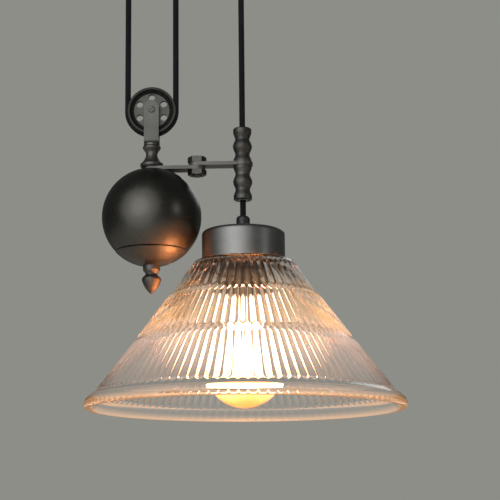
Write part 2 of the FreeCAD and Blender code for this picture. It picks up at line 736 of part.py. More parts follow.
def glass_shade():
    """Pressed glass: a pierced crown, a flat shoulder, three stepped tiers and a flared rim.
    The steps are on the outside; the inside is one smooth cone below the crown."""
    slope = (tier_bottoms[2][0] - tier_tops[0][0]) / tier_bottoms[2][1]
    wall = glass_wall * math.hypot(slope, 1)
    first_r = tier_tops[0][0]
    turn = math.sqrt(0.5)
    round_r, round_z = crown_radius - crown_rounding, crown_top - crown_rounding
    path = [(crown_hole_radius, crown_top), (round_r, crown_top),
            ("arc", (round_r + crown_rounding * turn, round_z + crown_rounding * turn),
             (crown_radius, round_z)), (crown_radius, shoulder_z), (shoulder_radius, shoulder_z),
            ("arc", (shoulder_radius + 0.6 * (first_r - shoulder_radius), shoulder_z - 0.27 * shoulder_fall),
             (first_r, tier_z))]
    for i, (radius, drop) in enumerate(tier_tops):
        if i:
            path.append((radius, tier_z - drop))
        path.append((tier_bottoms[i][0], tier_z - tier_bottoms[i][1]))
    path += [(rim_flare_start, rim_z + rim_flare_height), (rim_radius, rim_z + rim_edge_height),
             (rim_radius, rim_z + rim_rounding),
             ("arc", (rim_radius - rim_rounding * (1 - turn), rim_z + rim_rounding * (1 - turn)),
              (rim_radius - rim_rounding, rim_z)), (rim_radius - rim_lip_width, rim_z)]
    for radius, drop in (tier_bottoms[2], tier_bottoms[1], tier_bottoms[0]):
        path.append((radius - wall, tier_z - drop))
    inner_shoulder = shoulder_z - glass_wall
    inner_r = first_r - wall
    path += [(inner_r - slope, tier_z + 1 - glass_wall / 2),
             ("arc", (inner_r - 0.67 * glass_wall, inner_shoulder - 0.14 * glass_wall),
              (inner_r - 1.25 * glass_wall, inner_shoulder)),
             (crown_radius - glass_wall, inner_shoulder), (crown_radius - glass_wall, crown_bottom),
             (crown_hole_radius, crown_bottom)]
    return turned(path, lamp_x)


# ---- bulb --------------------------------------------------------------------------------------
bulb_bottom = holder_bottom - bulb_length
bulb_z = bulb_bottom + bulb_radius


def bulb_outline(radius, neck, gap):
    """Half outline of the bulb: neck, smooth throat and globe; gap is its height above the tip."""
    join = math.radians(48)
    throat_r, throat_z = radius * math.cos(join), bulb_z + radius * math.sin(join)
    neck_end = holder_bottom - bulb_neck_length
    mid = math.radians(-20)
    return [(neck, holder_bottom), (neck, neck_end),
            ("curve", (between(neck, throat_r, 0.1), between(neck_end, throat_z, 0.234)),
             (between(neck, throat_r, 0.51), between(neck_end, throat_z, 0.813)), (throat_r, throat_z)),
            ("arc", (radius * math.cos(mid), bulb_z + radius * math.sin(mid)), (0, bulb_bottom + gap))]


def bulb_glass():
    outer = bulb_outline(bulb_radius, bulb_neck_radius, 0)
    inner = bulb_outline(bulb_radius - bulb_wall, bulb_neck_radius - bulb_wall, bulb_wall)
    solid = turned([(0, holder_bottom)] + outer, lamp_x)
    return solid.cut(turned([(0, holder_bottom)] + inner, lamp_x))


def bulb_cap():
    """A thin shell with a cone at its end and a contact in the middle of that."""
    inner = bulb_cap_radius - bulb_cap_wall
    cone_low = cap_top - bulb_cap_cone
    cone_top_radius = bulb_tip_radius + 1.5
    return turned([(inner, holder_bottom), (bulb_cap_radius, holder_bottom), (bulb_cap_radius, cone_low),
                   (cone_top_radius, cap_top), (bulb_tip_radius, contact_low), (0, contact_low),
                   (0, cap_top - bulb_cap_wall), (cone_top_radius - bulb_cap_wall, cap_top - bulb_cap_wall),
                   (inner, cone_low - bulb_cap_wall)], lamp_x)


def bulb_mount():
    """The glass stem that closes the neck of the bulb and carries the filament."""
    low = holder_bottom - mount_length
    foot_radius = 0.6 * mount_radius
    neck_bore = bulb_neck_radius - bulb_wall
    return turned([(0, low), (foot_radius, low), (foot_radius, low + 0.75 * mount_foot_length),
                   (mount_radius, low + mount_foot_length), (neck_bore, holder_bottom - 2 * bulb_wall),
                   (neck_bore, holder_bottom), (0, holder_bottom)], lamp_x)


def filament():
    """Upright wires in a ring, with a flat hub at the stem."""
    high = holder_bottom - mount_length
    pieces = rod(filament_circle + filament_hub_margin, high - filament_hub_thickness, high, lamp_x)
    for i in range(filament_count):
        angle = 2 * math.pi * i / filament_count
        pieces = pieces.fuse(rod(filament_radius, high - filament_length, high - filament_hub_thickness / 2,
                                 lamp_x + filament_circle * math.cos(angle),
                                 filament_circle * math.sin(angle)))
    return pieces


# ---- flex --------------------------------------------------------------------------------------
def wrap(radius, x, z, upper):
    """The half turn of flex round a wheel."""
    ring = Part.makeTorus(radius, cord_radius, FreeCAD.Vector(x, 0, z), FreeCAD.Vector(0, 1, 0))
    reach = radius + cord_radius + 1
    low, high = (z, z + reach) if upper else (z - reach, z)
    return ring.common(box(x - reach, -reach, low, x + reach, reach, high))


nodes = {
    "ceiling_bracket": ceiling_bracket(),
    "canopy": canopy(),
    "canopy_screws": canopy_screws(),
    "terminal_block": terminal_block(),
    "terminal_screws": terminal_screws(),
    "anchor_grip": anchor_grip(),
    "anchor_grip_nut": lock_nut(grip_thread_radius, canopy_floor + canopy_wall, anchor_x),
    "upper_stem": turned_over(stem(upper_x, canopy_floor), canopy_floor),
    "upper_stem_nut": lock_nut(tie_radius, canopy_floor + canopy_wall, upper_x),
    "upper_stem_bolt": turned_over(tie_bolt(upper_x, upper_yoke_top + strap_thickness,
                                            2 * upper_yoke_top - canopy_floor - canopy_wall
                                            - lock_nut_height - thread_end), upper_yoke_top),
    "upper_yoke": turned_over(yoke(upper_x, upper_axle_z, upper_reach), upper_axle_z),
    "upper_axle": axle(upper_x, upper_axle_z),
    "upper_axle_nut": axle_nut(upper_x, upper_axle_z),
    "upper_spacers": spacers(upper_x, upper_axle_z),
    "upper_wheel": wheel(upper_cord_radius, upper_hole_radius, upper_hole_circle, upper_x, upper_axle_z),
    "upper_wheel_bush": wheel_bush(upper_x, upper_axle_z),
    "lower_wheel": wheel(lower_cord_radius, lower_hole_radius, lower_hole_circle, stem_x, lower_axle_z),
    "lower_wheel_bush": wheel_bush(stem_x, lower_axle_z),
    "lower_yoke": yoke(stem_x, lower_axle_z, lower_reach),
    "lower_axle": axle(stem_x, lower_axle_z),
    "lower_axle_nut": axle_nut(stem_x, lower_axle_z),
    "lower_spacers": spacers(stem_x, lower_axle_z),
    "lower_stem": stem(stem_x, inner_bar_top),
    "tie_bolt": tie_bolt(stem_x, lower_yoke_bottom + strap_thickness,
                         ball_bottom - finial_thread_depth + 2),
    "inner_bar": flat_bar(stem_x, elbow_x, inner_bar_top - bar_thickness, tie_radius + fixed_clearance,
                          elbow_bolt_radius + fixed_clearance, bar_width / 2),
    "ball_body": ball_body(),
    "ball_cap": ball_cap(),
    "trim_weights": trim_weights(),
    "trim_nut": lock_nut(tie_radius, trim_bottom - lock_nut_height, stem_x),
    "finial": finial(),
    "elbow_bolt": elbow_bolt(),
    "elbow_nut": elbow_nut(),
    "outer_bar": flat_bar(elbow_x, lamp_x, outer_bar_bottom, elbow_bolt_radius + shaft_clearance,
                          guide_spigot_radius + fixed_clearance, bar_eye_radius),
    "guide_upper": guide_upper(),
    "guide_lower": guide_lower(),
    "guide_liner": guide_liner(),
    "cord_gland": cord_gland(),
    "gland_nut": lock_nut(nipple_radius, holder_top, lamp_x),
    "cup": cup(),
    "lampholder": lampholder(),
    "screw_shell": screw_shell(),
    "centre_contact": centre_contact(),
    "shade_ring": shade_ring(),
    "glass_shade": glass_shade(),
    "bulb_glass": bulb_glass(),
    "bulb_cap": bulb_cap(),
    "bulb_mount": bulb_mount(),
    "filament": filament(),
    "cord_fixed_strand": rod(cord_radius, lower_axle_z, terminal_bottom, anchor_x),
    "cord_lower_wrap": wrap(lower_cord_radius, stem_x, lower_axle_z, False),
    "cord_middle_strand": rod(cord_radius, lower_axle_z, upper_axle_z, middle_strand_x),
    "cord_upper_wrap": wrap(upper_cord_radius, upper_x, upper_axle_z, True),
    "cord_lamp_strand": rod(cord_radius, guide_top, upper_axle_z, lamp_x),
    "cord_lamp_tail": rod(cord_radius, gland_top - gland_seat_depth, guide_top, lamp_x),
}

os.makedirs("parts", exist_ok=True)
for name, shape in nodes.items():
    if not shape.isValid():
        raise ValueError(name + " isn't a valid shape")
    shape.exportStep("parts/" + name + ".step")
    print(f"{name:20s} solids {len(shape.Solids)} volume {sum(s.Volume for s in shape.Solids):12.1f}")
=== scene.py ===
"""Rise and fall pendant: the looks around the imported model.  Metres, same frame as the model."""

import math
from collections import namedtuple

import bpy
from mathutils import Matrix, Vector


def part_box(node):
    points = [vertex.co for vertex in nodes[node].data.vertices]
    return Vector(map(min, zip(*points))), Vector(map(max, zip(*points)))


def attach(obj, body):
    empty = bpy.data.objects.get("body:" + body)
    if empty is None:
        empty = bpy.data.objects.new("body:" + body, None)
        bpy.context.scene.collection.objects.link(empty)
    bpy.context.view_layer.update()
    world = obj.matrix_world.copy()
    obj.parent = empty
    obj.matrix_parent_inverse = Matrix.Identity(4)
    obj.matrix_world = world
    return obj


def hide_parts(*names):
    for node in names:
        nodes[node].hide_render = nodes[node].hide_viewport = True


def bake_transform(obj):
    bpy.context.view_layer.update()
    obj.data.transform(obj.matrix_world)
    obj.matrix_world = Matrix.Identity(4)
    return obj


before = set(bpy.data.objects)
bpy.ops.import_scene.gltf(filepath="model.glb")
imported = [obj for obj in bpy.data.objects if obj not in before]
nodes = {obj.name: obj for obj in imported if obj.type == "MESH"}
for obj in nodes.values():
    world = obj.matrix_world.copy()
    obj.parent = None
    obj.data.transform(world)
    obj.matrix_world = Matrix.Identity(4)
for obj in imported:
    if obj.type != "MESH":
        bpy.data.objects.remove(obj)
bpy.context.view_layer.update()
mm = 0.001


# ---- places, from the frame -----------------------------------------------------------------
def centre(node):
    low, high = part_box(node)
    return (low + high) / 2


def low_z(node):
    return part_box(node)[0].z


def high_z(node):
    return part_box(node)[1].z


anchor = centre("cord_fixed_strand")
middle = centre("cord_middle_strand")
lamp = centre("glass_shade")
lower_axle = centre("lower_wheel")
upper_axle = centre("upper_wheel")
flex_radius = (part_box("cord_lamp_strand")[1].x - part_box("cord_lamp_strand")[0].x) / 2
lower_turn = (middle.x - anchor.x) / 2
upper_turn = (lamp.x - middle.x) / 2
guide_top = high_z("guide_liner")
guide_bottom = low_z("guide_liner")
rim_z = low_z("glass_shade")
seam_z = low_z("ball_body")

# ---- camera, as the photograph was taken ------------------------------------------------------
frame_pixels = 500
lens_pixels = 1487.0            # focal length on the 500-pixel frame
camera_distance = 1.5           # level distance to the lamp's axis
camera_below_rim = 0.1288
camera_azimuth = math.radians(0.6)
axis_pixel = 244.8              # column where the lamp's axis meets the horizon
horizon_pixel = 540.0           # row of the horizon, below the frame
lens_shift_pixels = 80.0        # the photograph is the right-hand part of a wider view
sensor_width = 36.0


def make_camera():
    data = bpy.data.cameras.new("camera")
    data.sensor_width = sensor_width
    data.lens = lens_pixels / frame_pixels * sensor_width
    camera = bpy.data.objects.new("camera", data)
    bpy.context.collection.objects.link(camera)
    data.shift_x = lens_shift_pixels / frame_pixels
    half = frame_pixels / 2
    pitch = math.atan((horizon_pixel - half) / lens_pixels)
    aside = math.atan((half - lens_shift_pixels - axis_pixel) / lens_pixels)
    camera.location = (lamp.x + camera_distance * math.sin(camera_azimuth),
                       -camera_distance * math.cos(camera_azimuth), rim_z - camera_below_rim)
    camera.rotation_euler = (math.radians(90) + pitch, 0, camera_azimuth - aside)
    bpy.context.scene.camera = camera


# ---- node helpers -------------------------------------------------------------------------------
class Nodes:
    """A material's or a world's node tree, with short calls for the nodes used here."""

    def __init__(self, tree):
        self.tree = tree

    def add(self, kind, **settings):
        node = self.tree.nodes.new(kind)
        for name, value in settings.items():
            setattr(node, name, value)
        return node

    def link(self, source, target):
        self.tree.links.new(source, target)

    def coordinates(self, stretch=(1, 1, 1), kind="Object", offset=(0, 0, 0)):
        source = self.add("ShaderNodeTexCoord").outputs[kind]
        mapping = self.add("ShaderNodeMapping")
        mapping.inputs["Scale"].default_value = stretch
        mapping.inputs["Location"].default_value = offset
        self.link(source, mapping.inputs["Vector"])
        return mapping.outputs["Vector"]

    def noise(self, vector, scale, detail=3.0, roughness=0.55):
        node = self.add("ShaderNodeTexNoise")
        node.inputs["Scale"].default_value = scale
        node.inputs["Detail"].default_value = detail
        node.inputs["Roughness"].default_value = roughness
        self.link(vector, node.inputs["Vector"])
        return node.outputs["Fac"]

    def remap(self, value, low, high, out_low, out_high):
        node = self.add("ShaderNodeMapRange")
        numbers = {"From Min": low, "From Max": high, "To Min": out_low, "To Max": out_high}
        for name, number in numbers.items():
            node.inputs[name].default_value = number
        self.link(value, node.inputs["Value"])
        return node.outputs["Result"]

    def mix(self, factor, first, second):
        node = self.add("ShaderNodeMix", data_type="RGBA")
        for socket, colour in ((node.inputs[6], first), (node.inputs[7], second)):
            if isinstance(colour, bpy.types.NodeSocket):
                self.link(colour, socket)
            else:
                socket.default_value = (*colour, 1)
        self.link(factor, node.inputs[0])
        return node.outputs[2]

    def math(self, operation, first, second=None):
        node = self.add("ShaderNodeMath", operation=operation)
        for socket, value in zip(node.inputs, (first, second)):
            if isinstance(value, bpy.types.NodeSocket):
                self.link(value, socket)
            elif value is not None:
                socket.default_value = value
        return node.outputs[0]

    def bump(self, height, distance, strength=1.0):
        node = self.add("ShaderNodeBump")
        node.inputs["Distance"].default_value = distance
        node.inputs["Strength"].default_value = strength
        self.link(height, node.inputs["Height"])
        return node.outputs["Normal"]


def new_material(name):
    material = bpy.data.materials.new(name)
    material.use_nodes = True
    tree = Nodes(material.node_tree)
    return material, tree, material.node_tree.nodes["Principled BSDF"].inputs


# ---- ribbed shade: sizes, with heights above the rim -----------------------------------------------
Tier = namedtuple("Tier", "ribs top_radius top_height bottom_radius bottom_height")
top_tier = Tier(52, 53.3 * mm, 147.5 * mm, 73.9 * mm, 116.1 * mm)
middle_tier = Tier(78, 78.0 * mm, 113.5 * mm, 109.2 * mm, 72.0 * mm)
low_tier = Tier(104, 112.6 * mm, 67.0 * mm, 152.1 * mm, 15.9 * mm)
tiers = (top_tier, middle_tier, low_tier)

shade_columns = 936             # a multiple of every rib count
tier_rows = 16
tip_rows = 5
rib_depth = 1.6 * mm
rib_tip = 4.5 * mm              # length of the pointed end of a rib
tip_slope = 0.2                 # share of the pointed end over which a rib rises to its crest
glass_wall = 4.5 * mm           # level distance from outer to inner cone

crown_hole = 21.2 * mm
crown_radius = 40.6 * mm
crown_rounding = 2.4 * mm
crown_height = 5.0 * mm
crown_wall = 3.6 * mm
shoulder_radius = 46.5 * mm
shoulder_height = 151.2 * mm
# points of the outline as (radius, height)
shoulder_foot = (50.4 * mm, 150.1 * mm)
inner_shoulder = (46.0 * mm, 147.9 * mm)
inner_crown_height = 147.6 * mm
inner_bend = (0.6 * mm, 1.2 * mm)       # in from the top tier's wall, and down from its top
rim_flare = ((155.0 * mm, 13.8 * mm), (157.4 * mm, 11.9 * mm), (160.4 * mm, 9.2 * mm))
rim_bulge = 3.2 * mm
rim_bulge_height = 4.4 * mm
rim_edge = 2.2 * mm
rim_inside = ((156.5 * mm, 0), (154.9 * mm, 0.7 * mm))

# Painted glow in the shade's glass: emission that stands in for the bulb's light caught in it; these set
# where it lies
rim_glow_low = 2.0 * mm         # the rim glows fully up to here
rim_glow_high = 7.0 * mm        # and not at all from here
glow_peak_height = 84.0 * mm    # the warm light in the glass is strongest here
glow_top_height = 134.0 * mm    # above this the glass holds almost none
glow_strength = 0.28


# ---- materials ------------------------------------------------------------------------------------
def worn_metal(name, colour, roughness, grain=(1, 1, 1), grain_depth=0.00006, patina=0.25, painted_shade_and_dark_tone=None):
    """Satin metal with a cloudy patina, small pits and a grain that is long where its stretch is small.
    The last argument gives a socket from 0 (unchanged) to 1 (black); it paints shade into recesses and
    seams, and can also darken part of the metal's own tone."""
    material, tree, sockets = new_material(name)
    clouds = tree.noise(tree.coordinates(), 28.0, 4.0)
    specks = tree.noise(tree.coordinates(), 620.0, 2.0)
    lines = tree.noise(tree.coordinates(grain), 420.0, 4.0, 0.7)
    shade = tree.math("ADD", tree.math("MULTIPLY", clouds, 0.6), tree.math("MULTIPLY", lines, 0.4))
    dark = [c * (1 - patina) for c in colour]
    light = [min(1.0, c * (1 + patina)) for c in colour]
    coat = tree.mix(tree.remap(shade, 0.35, 0.65, 0, 1), dark, light)
    if painted_shade_and_dark_tone:
        # painted shade: mixes the metal towards black where the mask says
        coat = tree.mix(painted_shade_and_dark_tone(tree), coat, (0.004, 0.004, 0.004))
    tree.link(coat, sockets["Base Color"])
    tree.link(tree.remap(lines, 0.3, 0.7, roughness - 0.05, roughness + 0.07), sockets["Roughness"])
    height = tree.math("ADD", tree.math("MULTIPLY", lines, 0.7), tree.math("MULTIPLY", specks, 0.3))
    tree.link(tree.bump(height, grain_depth), sockets["Normal"])
    sockets["Metallic"].default_value = 1.0
    return material


def wheel_recess_shade_and_dark_ring(tree):
    """Painted shade in the sunken band, and a darker tone on the raised ring than on the web."""
    place = tree.add("ShaderNodeSeparateXYZ")
    tree.link(tree.coordinates(), place.inputs[0])
    out = tree.math("ABSOLUTE", place.outputs["Y"])
    web_out = 2.3 * mm
    # painted shade: the sunken band is darkened nearly to black
    painted_recess_shade = tree.remap(out, web_out - 0.9 * mm, web_out - 0.3 * mm, 0.9, 0.0)
    raised = tree.remap(out, web_out + 0.3 * mm, web_out + 1.2 * mm, 0.0, 0.55)
    return tree.math("ADD", painted_recess_shade, raised)


def seam_painted_shade(tree):
    """Painted shade: a dark line round the seam between the ball and its cap, where the groove's shade
    falls.
    """
    place = tree.add("ShaderNodeSeparateXYZ")
    tree.link(tree.coordinates(offset=(0, 0, -seam_z)), place.inputs[0])
    away = tree.math("ABSOLUTE", place.outputs["Z"])
    return tree.remap(away, 0.35 * mm, 0.9 * mm, 0.95, 0.0)


def plastic(name, colour, roughness, grain_depth=0.00004):
    material, tree, sockets = new_material(name)
    fine = tree.noise(tree.coordinates(), 900.0, 3.0)
    dark = [c * 0.85 for c in colour]
    light = [c * 1.15 for c in colour]
    tree.link(tree.mix(tree.remap(fine, 0.35, 0.65, 0, 1), dark, light), sockets["Base Color"])
    tree.link(tree.remap(fine, 0.3, 0.7, roughness - 0.04, roughness + 0.04), sockets["Roughness"])
    tree.link(tree.bump(fine, grain_depth), sockets["Normal"])
    return material


def braid_material():
    """Black braided fabric; the strands are in the mesh, and this adds their threads."""
    material, tree, sockets = new_material("flex_braid")
    threads = tree.noise(tree.coordinates(kind="UV"), 2600.0, 2.0)
    dust = tree.noise(tree.coordinates(kind="UV"), 60.0, 3.0)
    black, worn_black, dusty = (0.003, 0.003, 0.004), (0.010, 0.010, 0.012), (0.016, 0.016, 0.018)
    colour = tree.mix(tree.remap(threads, 0.35, 0.65, 0, 1), black, worn_black)
    colour = tree.mix(tree.remap(dust, 0.45, 0.8, 0, 0.4), colour, dusty)
    tree.link(colour, sockets["Base Color"])
    tree.link(tree.bump(threads, 0.00008), sockets["Normal"])
    sockets["Roughness"].default_value = 0.85
    sockets["Specular IOR Level"].default_value = 0.12
    sockets["Sheen Weight"].default_value = 0.03
    sockets["Sheen Roughness"].default_value = 0.5
    return material


def shade_glass_material():
    """Pressed glass with a painted glow: its emission stands in for the bulb's warm light caught in the
    glass, most of it on the crests of the ribs beside the bulb, with painted orange light along the rim."""
    material, tree, sockets = new_material("shade_glass")
    place = tree.add("ShaderNodeSeparateXYZ")
    tree.link(tree.coordinates(offset=(-lamp.x, 0, -rim_z)), place.inputs[0])
    x, y, height = (place.outputs[axis] for axis in "XYZ")
    ribs = float(low_tier.ribs)
    for upper, lower in ((middle_tier, low_tier), (top_tier, middle_tier)):
        above = tree.math("GREATER_THAN", height, (upper.bottom_height + lower.top_height) / 2)
        ribs = tree.math("SUBTRACT", ribs, tree.math("MULTIPLY", above, lower.ribs - upper.ribs))
    # painted glow: strongest on the crests of the ribs
    turn = tree.math("MULTIPLY", tree.math("ARCTAN2", y, x), 0.5)
    crest = tree.math("ABSOLUTE", tree.math("SINE", tree.math("MULTIPLY", turn, ribs)))
    crest = tree.math("POWER", crest, 2.5)
    up = tree.remap(height, low_tier.bottom_height, glow_peak_height, 0.08, 1.0)
    down = tree.remap(height, glow_peak_height, glow_top_height, 1.0, 0.03)
    near = tree.math("MULTIPLY", up, down)
    clouds = tree.remap(tree.noise(tree.coordinates(), 22.0, 2.0), 0.3, 0.7, 0.6, 1.3)
    near = tree.math("MULTIPLY", near, clouds)
    # painted orange light along the rim
    rim = tree.remap(height, rim_glow_low, rim_glow_high, 1.0, 0.0)
    glow = tree.math("ADD", tree.math("MULTIPLY", near, tree.remap(crest, 0, 1, 0.03, 1.0)), rim)
    tree.link(tree.math("MULTIPLY", glow, glow_strength), sockets["Emission Strength"])
    rim_glow_colour, low_glow_colour, high_glow_colour = (1.0, 0.48, 0.18), (1.0, 0.60, 0.44), (1.0, 0.49, 0.15)
    off_rim = tree.remap(height, rim_glow_high, low_tier.bottom_height, 0, 1)
    off_low = tree.remap(height, low_tier.top_height, glow_peak_height, 0, 1)
    painted_glow_colour = tree.mix(off_low, tree.mix(off_rim, rim_glow_colour, low_glow_colour), high_glow_colour)
    tree.link(painted_glow_colour, sockets["Emission Color"])
    waves = tree.noise(tree.coordinates(), 55.0, 2.0)
    tree.link(tree.bump(waves, 0.0004, 0.2), sockets["Normal"])
    tree.link(tree.mix(waves, (0.97, 0.955, 0.94), (1.0, 0.99, 0.975)), sockets["Base Color"])
    sockets["Roughness"].default_value = 0.045
    sockets["IOR"].default_value = 1.46
    sockets["Transmission Weight"].default_value = 1.0
    return material


def lit_bulb_glass():
    """Amber glass of the lit bulb: it glows round the filament and thins out to the tip."""
    material, tree, sockets = new_material("bulb_glass_lit")
    height = tree.add("ShaderNodeSeparateXYZ")
    tree.link(tree.coordinates(), height.inputs[0])
    low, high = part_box("bulb_glass")
    full_glow = low.z + 0.4 * (high.z - low.z)
    glow = tree.remap(height.outputs["Z"], low.z + 4 * mm, full_glow, 0.12, 1.0)
    swirl = tree.noise(tree.coordinates(), 70.0, 2.0)
    glow = tree.math("MULTIPLY", glow, tree.remap(swirl, 0.3, 0.7, 0.8, 1.2))
    tree.link(tree.mix(glow, (1.0, 0.34, 0.05), (1.0, 0.78, 0.66)), sockets["Emission Color"])
    tree.link(tree.math("MULTIPLY", glow, 2.4), sockets["Emission Strength"])
    sockets["Base Color"].default_value = (1.0, 0.58, 0.24, 1)
    sockets["Roughness"].default_value = 0.05
    sockets["IOR"].default_value = 1.45
    sockets["Transmission Weight"].default_value = 1.0
    return material


def glowing_wire():
    material, tree, sockets = new_material("filament_lit")
    flicker = tree.noise(tree.coordinates(), 300.0, 2.0)
    tree.link(tree.mix(flicker, (1.0, 0.62, 0.28), (1.0, 0.80, 0.50)), sockets["Emission Color"])
    sockets["Emission Strength"].default_value = 28.0
    sockets["Base Color"].default_value = (0.9, 0.6, 0.3, 1)
    return material


gunmetal_colour = (0.120, 0.116, 0.108)
wheel_colour = (0.100, 0.100, 0.092)
pewter_colour = (0.118, 0.121, 0.112)
bar_colour = (0.165, 0.160, 0.150)
ball_colour = (0.092, 0.090, 0.080)
cup_colour = (0.235, 0.240, 0.232)

materials = {
    "gunmetal": worn_metal("gunmetal", gunmetal_colour, 0.46, grain_depth=0.00012, patina=0.45),
    "wheel_metal": worn_metal("wheel_metal", wheel_colour, 0.52, painted_shade_and_dark_tone=wheel_recess_shade_and_dark_ring),
    "pewter_strip": worn_metal("pewter_strip", pewter_colour, 0.50, (1, 1, 0.03)),
    "bar_metal": worn_metal("bar_metal", bar_colour, 0.50, (0.03, 1, 1)),
    "cup_metal": worn_metal("cup_metal", cup_colour, 0.40, (0.02, 0.02, 1), patina=0.12),
    "ball_paint": worn_metal("ball_paint", ball_colour, 0.32, grain_depth=0.00005, patina=0.15,
                             painted_shade_and_dark_tone=seam_painted_shade),
    "bright_steel": worn_metal("bright_steel", (0.55, 0.55, 0.54), 0.3),
    "bronze": worn_metal("bronze", (0.45, 0.30, 0.15), 0.35),
    "brass": worn_metal("brass", (0.70, 0.52, 0.24), 0.3),
    "cap_metal": worn_metal("cap_metal", (0.72, 0.70, 0.66), 0.28, (0.05, 0.05, 1)),
    "black_plastic": plastic("black_plastic", (0.014, 0.014, 0.014), 0.38),
    "holder_plastic": plastic("holder_plastic", (0.040, 0.024, 0.016), 0.35),
    "terminal_plastic": plastic("terminal_plastic", (0.70, 0.70, 0.66), 0.45),
    "flex_braid": braid_material(),
    "shade_glass": shade_glass_material(),
    "bulb_glass_lit": lit_bulb_glass(),
    "filament_lit": glowing_wire(),
}

node_materials = {
    "gunmetal": ("canopy", "canopy_screws", "upper_stem", "lower_stem", "tie_bolt", "finial", "elbow_bolt",
                 "elbow_nut", "guide_upper", "guide_lower"),
    "wheel_metal": ("upper_wheel", "lower_wheel"),
    "pewter_strip": ("upper_yoke", "lower_yoke", "upper_axle", "lower_axle", "upper_spacers",
                     "lower_spacers"),
    "bar_metal": ("inner_bar", "outer_bar"),
    "cup_metal": ("cup",),
    "ball_paint": ("ball_body", "ball_cap"),
    "bright_steel": ("ceiling_bracket", "upper_stem_nut", "upper_stem_bolt", "upper_axle_nut",
                     "lower_axle_nut", "trim_nut", "trim_weights", "gland_nut", "anchor_grip_nut"),
    "bronze": ("upper_wheel_bush", "lower_wheel_bush"),
    "brass": ("terminal_screws", "screw_shell", "centre_contact"),
    "cap_metal": ("bulb_cap",),
    "black_plastic": ("anchor_grip", "cord_gland", "shade_ring"),
    "holder_plastic": ("lampholder",),
    "terminal_plastic": ("terminal_block", "guide_liner"),
    "bulb_glass_lit": ("bulb_glass",),
    "shade_glass": ("bulb_mount",),
    "filament_lit": ("filament",),
}


def dress_nodes():
    for material, names in node_materials.items():
        for name in names:
            for slot in nodes[name].material_slots:
                slot.material = materials[material]


# ---- the flex --------------------------------------------------------------------------------------
def route_line(points):
    """Points along the NURBS spline that has these control points."""
    curve = bpy.data.curves.new("route", "CURVE")
    curve.dimensions = "3D"
    spline = curve.splines.new("NURBS")
    spline.points.add(len(points) - 1)
    for point, place in zip(spline.points, points):
        point.co = (*place, 1)
    spline.order_u = 3
    spline.use_endpoint_u = True
    spline.resolution_u = 24
    holder = bpy.data.objects.new("route", curve)
    bpy.context.collection.objects.link(holder)
    bpy.context.view_layer.update()
    mesh = bpy.data.meshes.new_from_object(holder)
    line = [vertex.co.copy() for vertex in mesh.vertices]
    bpy.data.objects.remove(holder)
    bpy.data.curves.remove(curve)
    bpy.data.meshes.remove(mesh)
    return line


def evenly(line, step):
    """The same line in equal steps, with its length."""
    lengths = [0.0]
    for a, b in zip(line, line[1:]):
        lengths.append(lengths[-1] + (b - a).length)
    count = max(2, round(lengths[-1] / step))
    points = []
    i = 0
    for k in range(count + 1):
        target = lengths[-1] * k / count
        while i < len(line) - 2 and lengths[i + 1] < target:
            i += 1
        span = lengths[i + 1] - lengths[i]
        points.append(line[i].lerp(line[i + 1], (target - lengths[i]) / span if span else 0))
    return points, lengths[-1]


braid_step = 0.6 * mm           # spacing of the rings along the flex
braid_sides = 32
braid_strands = 8               # strands that wind each way
braid_pitch = 24 * mm           # length of a full turn of one strand
braid_relief = 0.22 * mm


def braid_tube(name, points, start_length):
    """A braided tube along the route, which lies in the plane y = 0.  Returns it, its centreline
    and its length."""
    line, length = evenly(route_line(points), braid_step)
    across = Vector((0, 1, 0))
    vertices, faces = [], []
    for k, point in enumerate(line):
        before, after = line[max(k - 1, 0)], line[min(k + 1, len(line) - 1)]
        beside = (after - before).normalized().cross(across)
        along = start_length + length * k / (len(line) - 1)
        for j in range(braid_sides):
            angle = 2 * math.pi * j / braid_sides
            one = braid_strands * (angle / (2 * math.pi) + along / braid_pitch)
            other = braid_strands * (angle / (2 * math.pi) - along / braid_pitch)
            crown = abs(math.sin(math.pi * one) * math.sin(math.pi * other)) ** 0.6
            radius = flex_radius - braid_relief * (1 - crown)
            vertices.append(point + radius * (math.cos(angle) * across + math.sin(angle) * beside))
    for k in range(len(line) - 1):
        for j in range(braid_sides):
            a, b = k * braid_sides + j, k * braid_sides + (j + 1) % braid_sides
            faces.append((a, b, b + braid_sides, a + braid_sides))
    faces.append(tuple(reversed(range(braid_sides))))
    faces.append(tuple(range(len(vertices) - braid_sides, len(vertices))))
    piece = mesh_piece(name, vertices, faces, "flex_braid")
    layer = piece.data.uv_layers.new(name="UVMap")
    for polygon in piece.data.polygons:
        loops = list(polygon.loop_indices)
        places = [divmod(piece.data.loops[n].vertex_index, braid_sides) for n in loops]
        closes_ring = len(loops) == 4 and any(j == braid_sides - 1 for ring, j in places)
        for loop, (ring, j) in zip(loops, places):
            around = braid_sides if closes_ring and j == 0 else j
            layer.data[loop].uv = (around / braid_sides * 2 * math.pi * flex_radius,
                                   start_length + length * ring / (len(line) - 1))
    return piece, line, length


def mesh_piece(name, vertices, faces, material):
    mesh = bpy.data.meshes.new(name)
    mesh.from_pydata([tuple(v) for v in vertices], [], faces)
    mesh.validate()
    mesh.polygons.foreach_set("use_smooth", [True] * len(mesh.polygons))
    mesh.materials.append(materials[material])
    piece = bpy.data.objects.new(name, mesh)
    bpy.context.collection.objects.link(piece)
    return piece


def corners(centre_point, radius, angles):
    """Corners of the octagon round a wheel, at these angles from +X towards +Z, in degrees."""
    half_side = 180 / 8
    reach = radius / math.cos(math.radians(half_side))
    return [(centre_point.x + reach * math.cos(math.radians(a)), 0.0,
             centre_point.z + reach * math.sin(math.radians(a))) for a in angles]


guide_join = 40 * mm            # length of the piece that leads into the guide
straight_diameters = 6          # a control point stands this far from a wheel's axle


